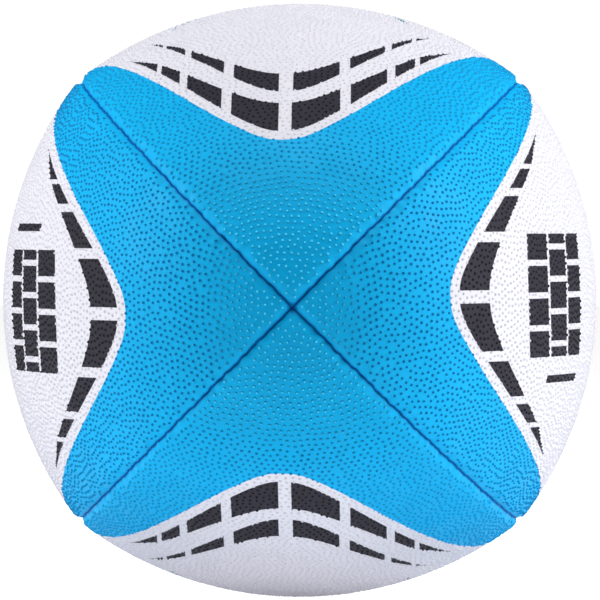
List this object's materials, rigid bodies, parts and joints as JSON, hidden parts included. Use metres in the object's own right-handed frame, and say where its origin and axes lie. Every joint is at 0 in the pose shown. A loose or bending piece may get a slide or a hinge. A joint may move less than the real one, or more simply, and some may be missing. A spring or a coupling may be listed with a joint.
{
  "type": "rugby ball",
  "caption": "Oval ball for rugby: pimpled rubber panels on cotton plies, sewn with turned-in seams round an inflatable bladder with a needle valve.",
  "frame": {"origin": "centre of the ball", "axes": "+Y along the ball from tip to tip, +Z out through the middle of the top panel and its valve, +X out through the middle of the right panel"},
  "size_m": [0.186, 0.29, 0.186],
  "materials": {
    "grip_rubber": "matt pimpled rubber, printed blue, white and charcoal",
    "cotton_ply": "woven cotton and polyester",
    "waxed_thread": "waxed",
    "bladder_rubber": "smooth, dusted",
    "backing_fabric": "woven",
    "valve_rubber": "satin",
    "plug_rubber": "satin"
  },
  "bodies": {
    "ball": {"cover_right": "grip_rubber", "cover_top": "grip_rubber", "cover_left": "grip_rubber", "cover_bottom": "grip_rubber", "outer_ply_right": "cotton_ply", "outer_ply_top": "cotton_ply", "outer_ply_left": "cotton_ply", "outer_ply_bottom": "cotton_ply", "middle_ply_right": "cotton_ply", "middle_ply_top": "cotton_ply", "middle_ply_left": "cotton_ply", "middle_ply_bottom": "cotton_ply", "inner_ply_right": "cotton_ply", "inner_ply_top": "cotton_ply", "inner_ply_left": "cotton_ply", "inner_ply_bottom": "cotton_ply", "seam_thread_top_right": "waxed_thread", "seam_thread_top_left": "waxed_thread", "seam_thread_bottom_left": "waxed_thread", "seam_thread_bottom_right": "waxed_thread", "bladder": "bladder_rubber", "valve_backing": "backing_fabric", "valve_patch": "bladder_rubber", "valve_housing": "valve_rubber"},
    "plug": {"valve_plug": "plug_rubber"}
  },
  "joints": [
    {"name": "plug_pull", "type": "slide", "parent": "ball", "child": "plug", "axis": [0, 0, 1], "range_m": [0, 0.02]}
  ]
}
